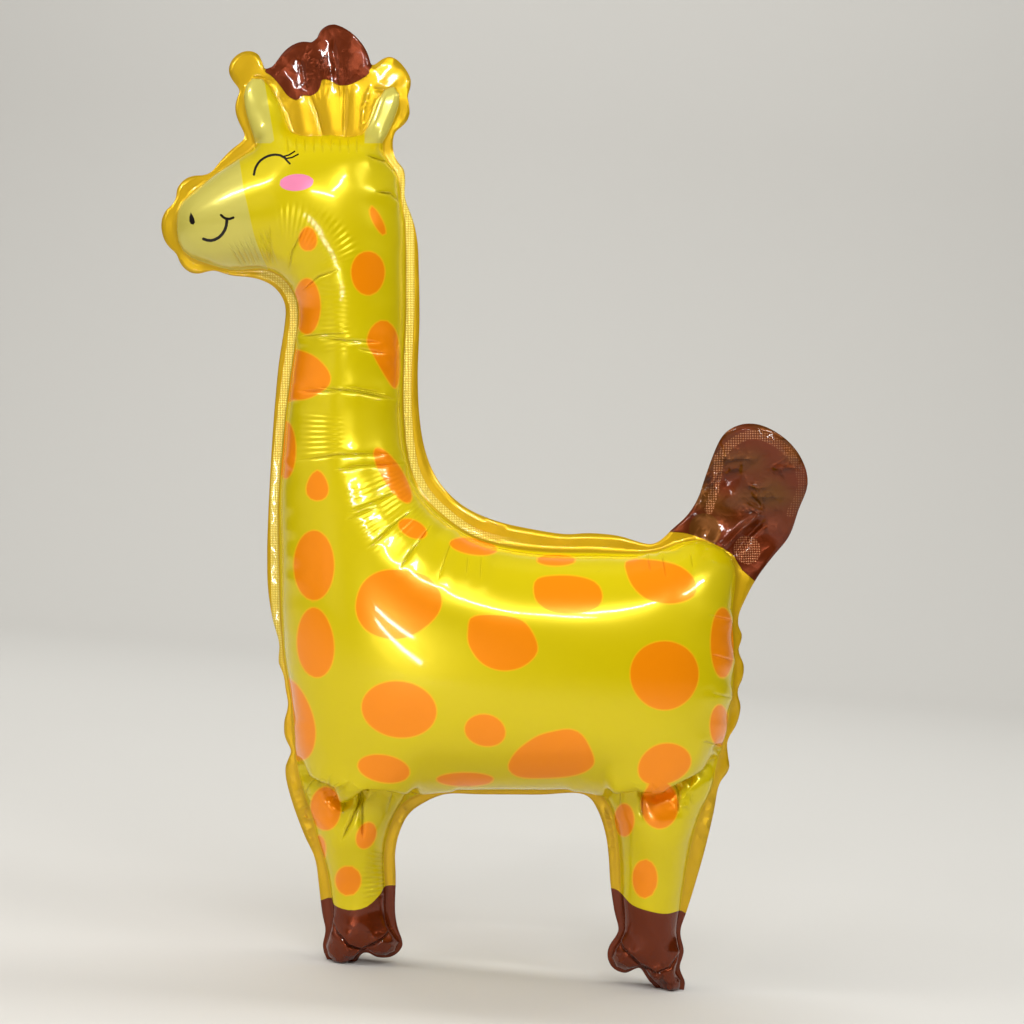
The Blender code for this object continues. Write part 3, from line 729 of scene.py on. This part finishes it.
# Where the film is crumpled: middle, half width, half height, tilt in degrees, and how strongly
CRUMPLES = (
    (136, 329, 10, 8, 30, 2.0),
    (129, 315, 9, 7, 60, 2.0),
    (150, 328, 9, 6, 20, 1.3),
    (175, 324, 9, 5, 20, 1.6),
    (159, 312, 9, 5, -20, 1.4),
    (161, 301, 11, 6, 30, 1.6),
    (165, 281, 8, 8, 50, 0.5),
    (121, 297, 5, 5, 50, 0.8),
    (-112, 573, 13, 6, -25, 1.2),
    (-104, 127, 14, 5, -15, 1.2),
    (-84, 121, 9, 4, 0, 1.0),
    (-119, 117, 6, 10, 0, 1.0),
    (-121, 100, 5, 22, 10, 0.55),
    (-61, 100, 5, 24, 0, 0.5),
    (66, 96, 5, 20, 0, 0.55),
    (127, 100, 7, 24, -12, 0.6),
    (113, 117, 6, 8, 0, 1.0),
    (90, 124, 18, 4, 0, 0.9),
    (-121, 566, 4, 9, 0, 0.6),
    (-93, 582, 5, 6, 0, 0.2),
    (-136, 557, 5, 13, 14, 0.5),
    (-66, 548, 5, 12, 10, 0.5),
    (-95, 18, 8, 8, 0, 1.5),
    (-70, 26, 8, 7, 0, 1.5),
    (100, 4, 12, 8, -30, 1.5),
    (76, 20, 6, 8, 0, 0.9),
)
BROWN_CRUMPLED = 0.12  # how strongly all the brown film is
LEG_TOP = (100, 136)  # the blown film is crumpled only between these heights
for reach in STROKE_SPLITS:
    seen = drawn(places_of(film.data.vertices))
    split(closest_fold(seen, [stroke[1:] for stroke in STROKES]) < reach, 0.0)
seen = drawn(places_of(film.data.vertices))
stroke_gap = np.full(len(seen), FAR_OFF)
for half_width, *line in STROKES:
    close = closest_fold(seen, [line]) < FAR_OFF
    gap = np.abs(line_gap(seen[close], line)[0])
    stroke_gap[close] = np.minimum(stroke_gap[close], gap - half_width)
stroke_gap = np.minimum(stroke_gap, loop_gap(seen, rounded(NOSTRIL)))
cheek_gap = np.minimum(loop_gap(seen, oval(*CHEEK)), FAR_OFF)
spot_gap = np.full(len(seen), FAR_OFF)
for loop in [oval(*spot) for spot in SPOTS] + [rounded(loop) for loop in ROUNDED]:
    low, high = loop.min(0) - FAR_OFF, loop.max(0) + FAR_OFF
    close = ((seen > low) & (seen < high)).all(1)
    if close.any():
        spot_gap[close] = np.minimum(spot_gap[close], loop_gap(seen[close], loop))
x, z = seen[:, 0], seen[:, 1]
edge_x, edge_z = eased(MUZZLE_EDGE[::-1]).T
muzzle_gap = np.interp(z, edge_z, edge_x) - x
muzzle_gap[z > MUZZLE_TOP] = -FAR_OFF
brown_gap = np.full(len(seen), -FAR_OFF)
tuft = (x > TUFT_LEFT) & (x < TUFT_RIGHT) & (z > TUFT_FOOT)
brown_gap[tuft] = height_over(seen[tuft], TUFT_EDGE)
tail = (x > TAIL_LEFT) & (z > TAIL_FOOT)
brown_gap[tail] = height_over(seen[tail], TAIL_EDGE)
for edge in HOOF_EDGES:
    hoof = (z < HOOF_TOP) & (x > edge[0][0]) & (x < edge[-1][0])
    brown_gap[hoof] = -height_over(seen[hoof], edge)
flat_part = on_seam()
for number, fan in enumerate(RIPPLES):
    angle, share = in_fan(seen, fan)
    keep(f"fan_{number}", angle / fan[3])
    keep(f"fan_{number}_depth", np.where(flat_part, 0, share * fan[4]))
keep("spot", spot_gap)
keep("stroke", stroke_gap)
keep("cheek", cheek_gap)
keep("muzzle", np.clip(muzzle_gap, -FAR_OFF, FAR_OFF))
keep("brown", np.clip(brown_gap, -FAR_OFF, FAR_OFF))
edge_x, edge_z = np.array(LEFT_HORN_EDGE[::-1]).T
left_horn = np.interp(z, edge_z, edge_x) - x
horn_gap = np.minimum(z - HORN_FOOT, np.maximum(left_horn, x - RIGHT_HORN_EDGE))
keep("horn", np.clip(horn_gap, -FAR_OFF, FAR_OFF))
outside = np.zeros(len(seen))
outside[flat_part] = rim_gap(seen[flat_part], *weld)
on_tail = flat_part & (x > TAIL_WELD_LEFT) & (z > TAIL_WELD_FOOT)
tail_weld = np.full(len(seen), FAR_OFF)
tail_weld[on_tail] = np.abs(line_gap(seen[on_tail], eased(TAIL_WELD))[0])
keep("outside", outside)
knurled = step(z, *KNURL_FOOT) * step(z, *KNURL_TOP) * step(x, *KNURL_RIGHT) * step(x, *KNURL_LEFT)
keep("knurled", knurled)
keep("tail_weld", tail_weld)
keep("patch", np.hypot(x - TAIL_PATCH[0], z - TAIL_PATCH[1]) - TAIL_PATCH[2])
keep("port", np.where(flat_part, np.hypot(x - PORT[0], z - PORT[1]) - PORT[2], FAR_OFF))
crumpled = BROWN_CRUMPLED * (brown_gap > 0)
for middle_x, middle_z, half_x, half_z, tilt, strength in CRUMPLES:
    turn = math.radians(tilt)
    along = ((x - middle_x) * math.cos(turn) + (z - middle_z) * math.sin(turn)) / half_x
    across = ((z - middle_z) * math.cos(turn) - (x - middle_x) * math.sin(turn)) / half_z
    crumpled = crumpled + strength * np.exp(-(along**2) - across**2)
leg_top = (z > LEG_TOP[0]) & (z < LEG_TOP[1])
keep("crumpled", np.where(flat_part | (brown_gap > 0) | leg_top, crumpled, 0))
print_map = film.data.uv_layers.new(name="print")  # the drawing, in metres
print_map.data.foreach_set("uv", seen[corners_of(film.data).ravel()].astype(np.float32).ravel() / 1000)
film.data.shade_smooth()


def screen_colour(red, green, blue):
    """A colour, from its values on a screen."""
    return tuple((value / 255) ** 2.2 for value in (red, green, blue)) + (1.0,)


class Nodes:
    """Short names for the few kinds of node that the film's material is made of."""

    def __init__(self, material):
        material.use_nodes = True
        self.tree = material.node_tree
        self.shader = self.tree.nodes["Principled BSDF"]

    def add(self, kind, **settings):
        node = self.tree.nodes.new(kind)
        for name, value in settings.items():
            setattr(node, name, value)
        return node

    def plug(self, value, socket):
        if isinstance(value, bpy.types.NodeSocket):
            self.tree.links.new(value, socket)
        else:
            socket.default_value = value

    def math(self, operation, *values):
        node = self.add("ShaderNodeMath", operation=operation)
        for value, socket in zip(values, node.inputs):
            self.plug(value, socket)
        return node.outputs[0]

    def product(self, first, *others):
        for other in others:
            first = self.math("MULTIPLY", first, other)
        return first

    def value(self, name):
        return self.add("ShaderNodeAttribute", attribute_name=name).outputs["Fac"]

    def ramp(self, value, start, end, low=0.0, high=1.0):
        node = self.add("ShaderNodeMapRange", interpolation_type="SMOOTHSTEP")
        for entry, socket in zip((value, start, end, low, high), node.inputs):
            self.plug(entry, socket)
        return node.outputs[0]

    def mix(self, share, first, second):
        node = self.add("ShaderNodeMix", data_type="RGBA")
        for entry, socket in zip((share, first, second), (node.inputs[0], node.inputs[6], node.inputs[7])):
            self.plug(entry, socket)
        return node.outputs[2]

    def noise(self, where, scale, detail, **settings):
        node = self.add("ShaderNodeTexNoise", **settings)
        node.inputs["Scale"].default_value = scale
        node.inputs["Detail"].default_value = detail
        self.plug(where, node.inputs["Vector"])
        return node


# The seam's gold is painted reflection: its flat film has the same yellow print as the chamber
LEMON, SEAM_SHEEN_GOLD, ORANGE = screen_colour(218, 196, 6), screen_colour(212, 168, 20), screen_colour(253, 142, 0)
PALE_RIM, MUZZLE, BROWN = screen_colour(250, 188, 22), screen_colour(209, 197, 92), screen_colour(106, 42, 4)
PALE_BAND, PORT_BROWN, BROWN_DOT = screen_colour(252, 234, 124), screen_colour(104, 60, 14), screen_colour(206, 140, 96)
# Painted sheen: the olive brown that the tail's folds catch where they rise
FOLD_SHEEN_BROWN = screen_colour(106, 62, 16)
PINK, BLACK = screen_colour(250, 142, 182), screen_colour(22, 12, 10)
# Each mark's soft edge: the distance where the mark ends, and the one from which it is full
RIM_EDGE, SPOT_EDGE, PALE_EDGE, BROWN_EDGE = (0.9, 0.2), (0.0, -0.7), (-0.2, 0.4), (-0.2, 0.3)
PORT_EDGE, CHEEK_EDGE, STROKE_EDGE, PATCH_EDGE = (0.3, -0.3), (0.25, -0.25), (0.15, -0.15), (0.0, -0.5)
BAND_START, BAND_SOFT = (0.3, 0.7), 0.4
DOT_EDGE, DOT_SHADES = (-0.1, 0.6), (0.35, 0.9)  # of the knurl's wave, and their paleness
DOTS_WORN = (0.155, 0.186, 0.7, 0.2)  # metres of the drawing across the tail, and how clear the dots are
# The tail's painted sheen: wave heights where it begins and is full, and likewise across and up
FOLD_SHEEN_WAVE, FOLD_SHEEN_RIGHT_OF, FOLD_SHEEN_ABOVE = (0.3, 0.7), (0.09, 0.1), (0.28, 0.305)
FILM_METAL, SEAM_METAL, BROWN_METAL = 0.22, 0.5, 0.5
FILM_ROUGH, SEAM_ROUGH = 0.24, 0.34
FILM_COAT, BROWN_COAT, COAT_ROUGH = 0.44, 0.5, 0.05
# Relief, in millimetres of the drawing, and how finely each kind of it is broken up
CRISP, CRISP_DEPTH = 0.36, 0.42  # half width of a crease's sharp core and its share of the depth
PRESSED_DEPTH = 0.12
CRUMPLE_SCALE, CRUMPLE_DEPTH = 85.0, 1.3
WAVE_SCALE, WAVE_DEPTH, BROWN_WAVE_DEPTH = 45.0, 0.9, 1.8
PORT_CALM = (-2.0, 4.0)  # distance from the port's edge where the waves are gone, and where they are full
SLACK_SCALE, SLACK_DEPTH = 190.0, 0.03

foil = bpy.data.materials.new("printed_foil")
nodes = Nodes(foil)
seam_share = nodes.ramp(nodes.value("seam"), 0.8, 1.0)
chamber = nodes.math("SUBTRACT", 1.0, seam_share)
spot = nodes.value("spot")
colour = nodes.mix(nodes.product(chamber, nodes.ramp(spot, *RIM_EDGE)), LEMON, PALE_RIM)
colour = nodes.mix(nodes.ramp(spot, *SPOT_EDGE), colour, ORANGE)
# Painted reflection: the flat seam has the same yellow print, painted deeper gold for how it mirrors
colour = nodes.mix(seam_share, colour, SEAM_SHEEN_GOLD)
pale = nodes.math("MAXIMUM", *(nodes.ramp(nodes.value(name), *PALE_EDGE) for name in ("muzzle", "horn")))
colour = nodes.mix(nodes.product(pale, chamber), colour, MUZZLE)

# The knurl is two waves across each other, and shows where the band or one of the tail's marks is
where = nodes.add("ShaderNodeUVMap", uv_map="print").outputs[0]
separate = nodes.add("ShaderNodeSeparateXYZ")
nodes.plug(where, separate.inputs[0])
across, up = separate.outputs["X"], separate.outputs["Y"]
turn = 1000 * math.pi / KNURL_PITCH
knurl = [nodes.math(way, across, up) for way in ("ADD", "SUBTRACT")]
knurl = nodes.product(*(nodes.math("SINE", nodes.product(ray, turn)) for ray in knurl))
dots = nodes.ramp(knurl, *DOT_EDGE)
outside = nodes.value("outside")
band = nodes.product(
    nodes.ramp(outside, *BAND_START),
    nodes.ramp(outside, WELD_BAND, WELD_BAND - BAND_SOFT),
    nodes.value("knurled"),
)
tail_marks = nodes.math(
    "MAXIMUM",
    nodes.ramp(nodes.value("tail_weld"), TAIL_WELD_HALF, TAIL_WELD_HALF - BAND_SOFT),
    nodes.ramp(nodes.value("patch"), *PATCH_EDGE),
)
colour = nodes.mix(nodes.product(band, nodes.ramp(dots, 0.0, 1.0, *DOT_SHADES)), colour, PALE_BAND)

wave = nodes.noise(where, WAVE_SCALE, 0.0).outputs[0]
# Painted sheen: the tail's upper flap turns olive where its waves rise, as the light on those folds
fold_sheen = nodes.product(
    nodes.ramp(wave, *FOLD_SHEEN_WAVE),
    nodes.ramp(across, *FOLD_SHEEN_RIGHT_OF),
    nodes.ramp(up, *FOLD_SHEEN_ABOVE),
    seam_share,
)
brown = nodes.mix(fold_sheen, BROWN, FOLD_SHEEN_BROWN)
brown = nodes.mix(nodes.ramp(nodes.value("port"), *PORT_EDGE), brown, PORT_BROWN)
shown_dots = nodes.product(dots, nodes.ramp(across, *DOTS_WORN))
brown = nodes.mix(nodes.product(tail_marks, shown_dots), brown, BROWN_DOT)
brown_share = nodes.ramp(nodes.value("brown"), *BROWN_EDGE)
colour = nodes.mix(brown_share, colour, brown)
colour = nodes.mix(nodes.ramp(nodes.value("cheek"), *CHEEK_EDGE), colour, PINK)
colour = nodes.mix(nodes.ramp(nodes.value("stroke"), *STROKE_EDGE), colour, BLACK)
nodes.plug(colour, nodes.shader.inputs["Base Color"])

metal = nodes.ramp(seam_share, 0.0, 1.0, FILM_METAL, SEAM_METAL)
metal = nodes.math("MAXIMUM", metal, nodes.product(brown_share, BROWN_METAL))
nodes.plug(metal, nodes.shader.inputs["Metallic"])
nodes.plug(nodes.ramp(seam_share, 0.0, 1.0, FILM_ROUGH, SEAM_ROUGH), nodes.shader.inputs["Roughness"])
nodes.plug(nodes.ramp(brown_share, 0.0, 1.0, FILM_COAT, BROWN_COAT), nodes.shader.inputs["Coat Weight"])
nodes.shader.inputs["Coat Roughness"].default_value = COAT_ROUGH
nodes.shader.inputs["Specular IOR Level"].default_value = 0.2

sharp = nodes.math("DIVIDE", nodes.value("crease"), CRISP)
sharp = nodes.math("EXPONENT", nodes.product(sharp, sharp, -1.0))
relief = nodes.product(sharp, nodes.value("crease_depth"), -CRISP_DEPTH)
pressed = nodes.product(nodes.math("MAXIMUM", band, tail_marks), seam_share)
relief = nodes.math("ADD", relief, nodes.product(knurl, pressed, KNURL_DEPTH))
relief = nodes.math("ADD", relief, nodes.product(pressed, -PRESSED_DEPTH))
for number in range(len(RIPPLES)):
    ripple = nodes.math("COSINE", nodes.product(nodes.value(f"fan_{number}"), 2 * math.pi))
    relief = nodes.math("SUBTRACT", relief, nodes.product(ripple, nodes.value(f"fan_{number}_depth")))
crumple = nodes.noise(where, CRUMPLE_SCALE, 2.0, noise_type="RIDGED_MULTIFRACTAL")
crumple.inputs["Offset"].default_value = 1.0
crumple = nodes.product(crumple.outputs[0], nodes.value("crumpled"), CRUMPLE_DEPTH)
relief = nodes.math("ADD", relief, crumple)
wave_depth = nodes.product(
    nodes.ramp(nodes.product(brown_share, seam_share), 0.0, 1.0, WAVE_DEPTH, BROWN_WAVE_DEPTH),
    seam_share,
    nodes.ramp(nodes.value("port"), *PORT_CALM),
)
relief = nodes.math("ADD", relief, nodes.product(wave, wave_depth))
slack_film = nodes.noise(where, SLACK_SCALE, 1.0).outputs[0]
relief = nodes.math("ADD", relief, nodes.product(slack_film, SLACK_DEPTH))
bump = nodes.add("ShaderNodeBump")
bump.inputs["Distance"].default_value = DRAWN_MM
nodes.plug(relief, bump.inputs["Height"])
nodes.plug(bump.outputs[0], nodes.shader.inputs["Normal"])
film.data.materials.clear()
film.data.materials.append(foil)

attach(film, "root")
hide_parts("balloon")

# The studio
# A pale floor runs up into a pale wall without an edge. Narrow strip lights stand where the film mirrors
# them as the thin bright lines on back, chest and muzzle. A broad key and fill that the film doesn't
# mirror light the rest, and the air glows softly above, in front and to the sides.
FLOOR_WIDE, FLOOR_DEEP, FLOOR_BACK = 8.0, 7.4, -1.3  # metres, and where the floor's middle lies
WALL_HIGH, WALL_BEND = 4.0, 1.2
BY_THE_WALL, ON_FLOOR = 2.0, 1.0  # metres, which tell the floor's far edge from the rest
LIT_MIDDLE = Vector((0.0, -0.04, 0.26))
AIR_GLOWS = (
    # azimuth, elevation, how far it reaches and how far it is full, in degrees, and its strength
    (0, 90, 98, 20, 0.17),
    (-10, 2, 18, 3, 0.2),
    (-40, 0, 16, 3, 0.3),
    (-62, 26, 46, 8, 0.45),
    (62, 36, 40, 8, 0.07),
)
AIR_EVERYWHERE = 0.03

bpy.ops.mesh.primitive_plane_add(size=1, location=(0, 0, 0))
stage = bpy.context.object
stage.name = "studio_floor"
stage.data.transform(((FLOOR_WIDE, 0, 0, 0), (0, FLOOR_DEEP, 0, FLOOR_BACK), (0, 0, 1, 0), (0, 0, 0, 1)))
go_to("EDIT")
bpy.ops.mesh.select_all(action="DESELECT")
go_to("OBJECT")
for edge in stage.data.edges:
    edge.select = all(stage.data.vertices[i].co.y > BY_THE_WALL for i in edge.vertices)
go_to("EDIT")
bpy.ops.mesh.select_mode(type="EDGE")
bpy.ops.mesh.extrude_region_move(TRANSFORM_OT_translate={"value": (0, 0, WALL_HIGH)})
go_to("OBJECT")
for edge in stage.data.edges:
    ends = [stage.data.vertices[i].co for i in edge.vertices]
    edge.select = all(end.y > BY_THE_WALL and end.z < ON_FLOOR for end in ends)
go_to("EDIT")
bpy.ops.mesh.bevel(offset=WALL_BEND, offset_type="OFFSET", segments=24, affect="EDGES")
go_to("OBJECT")
stage.data.shade_smooth()
paper = bpy.data.materials.new("studio_paper")
paper.use_nodes = True
paper_shader = paper.node_tree.nodes["Principled BSDF"]
paper_shader.inputs["Base Color"].default_value = screen_colour(204, 201, 197)
paper_shader.inputs["Roughness"].default_value = 0.9
stage.data.materials.append(paper)


def bearing(azimuth, elevation):
    """The direction that lies so many degrees to the right of the camera's side, and so many up."""
    azimuth, elevation = math.radians(azimuth), math.radians(elevation)
    level = math.cos(elevation)
    return Vector((math.sin(azimuth) * level, -math.cos(azimuth) * level, math.sin(elevation)))


def light(name, place, facing, size, power, tint, mirrored):
    """A flat lamp. The film shows it as a highlight only if it is mirrored."""
    source = bpy.data.lights.new(name, "AREA")
    source.shape = "RECTANGLE"
    source.size, source.size_y = size
    source.energy = power
    source.color = tint
    piece = bpy.data.objects.new(name, source)
    piece.location = place
    piece.rotation_euler = facing.to_euler()
    piece.visible_glossy = mirrored
    piece.visible_camera = False
    bpy.context.scene.collection.objects.link(piece)


def lamp(name, azimuth, elevation, away, size, power, tint=(1.0, 1.0, 1.0), roll=0.0, mirrored=True):
    """A lamp in that direction from the giraffe's middle, that far away, and turned towards it."""
    towards = bearing(azimuth, elevation)
    facing = (-towards).to_track_quat("-Z", "Y") @ Quaternion((0, 0, 1), math.radians(roll))
    light(name, LIT_MIDDLE + away * towards, facing, size, power, tint, mirrored)


lamp("back_line_left", 1.5, 28, 1.4, (0.45, 0.018), 3.6)
lamp("back_line_middle", 19, 38, 1.4, (0.45, 0.02), 4.0, roll=38)
lamp("back_line_right", 63, 40, 1.4, (0.56, 0.02), 3.6, roll=-12)
lamp("chest_arc_upper", -11.4, 0.2, 1.45, (0.24, 0.016), 1.0, roll=-25)
lamp("chest_arc_lower", -11, -3.9, 1.45, (0.30, 0.016), 1.1, roll=-34)
lamp("muzzle_line", -61, 32.5, 1.4, (0.4, 0.03), 3.6, roll=28)
lamp("key", -48, 58, 2.1, (1.2, 1.0), 8.2, (1.0, 0.95, 0.87), mirrored=False)
lamp("fill", 55, 35, 1.9, (0.8, 0.8), 2.3, (0.86, 1.0, 0.94), mirrored=False)
to_the_wall = Vector((0.0, 1.5, -2.3)).to_track_quat("-Z", "Y")
light("wall_wash", (0.0, 0.9, 3.2), to_the_wall, (4.0, 0.8), 108, (0.98, 1.0, 0.99), mirrored=False)

world = bpy.data.worlds.new("studio_air")
bpy.context.scene.world = world
world.use_nodes = True
air = world.node_tree
way = air.nodes.new("ShaderNodeTexCoord").outputs["Generated"]


def glow(azimuth, elevation, reach, core, strength):
    """Light from the air round a direction, full inside the core and none past the reach, in degrees."""
    towards = air.nodes.new("ShaderNodeVectorMath")
    towards.operation = "DOT_PRODUCT"
    air.links.new(way, towards.inputs[0])
    towards.inputs[1].default_value = bearing(azimuth, elevation)
    share = air.nodes.new("ShaderNodeMapRange")
    share.interpolation_type = "SMOOTHSTEP"
    air.links.new(towards.outputs["Value"], share.inputs["Value"])
    share.inputs["From Min"].default_value = math.cos(math.radians(reach))
    share.inputs["From Max"].default_value = math.cos(math.radians(core))
    share.inputs["To Max"].default_value = strength
    return share.outputs["Result"]


strength = air.nodes.new("ShaderNodeMath")
strength.inputs[1].default_value = AIR_EVERYWHERE
total = glow(*AIR_GLOWS[0])
for part in AIR_GLOWS[1:]:
    both = air.nodes.new("ShaderNodeMath")
    air.links.new(total, both.inputs[0])
    air.links.new(glow(*part), both.inputs[1])
    total = both.outputs[0]
air.links.new(total, strength.inputs[0])
air.links.new(strength.outputs[0], air.nodes["Background"].inputs["Strength"])
air.nodes["Background"].inputs["Color"].default_value = (1.0, 0.975, 0.9, 1)
bpy.context.scene.view_settings.view_transform = "Standard"

# The camera looks level along the seam's normal, and leans as the picture does
lens = bpy.data.cameras.new("camera")
lens.sensor_width = SENSOR
lens.lens = SENSOR * CAMERA_AWAY / (PICTURE_WIDTH * DRAWN_MM)
camera = bpy.data.objects.new("camera", lens)
camera.location = (EYE[0], -CAMERA_AWAY, EYE[1])
camera.rotation_euler = (math.radians(90), -LEAN, 0)
bpy.context.scene.collection.objects.link(camera)
bpy.context.scene.camera = camera
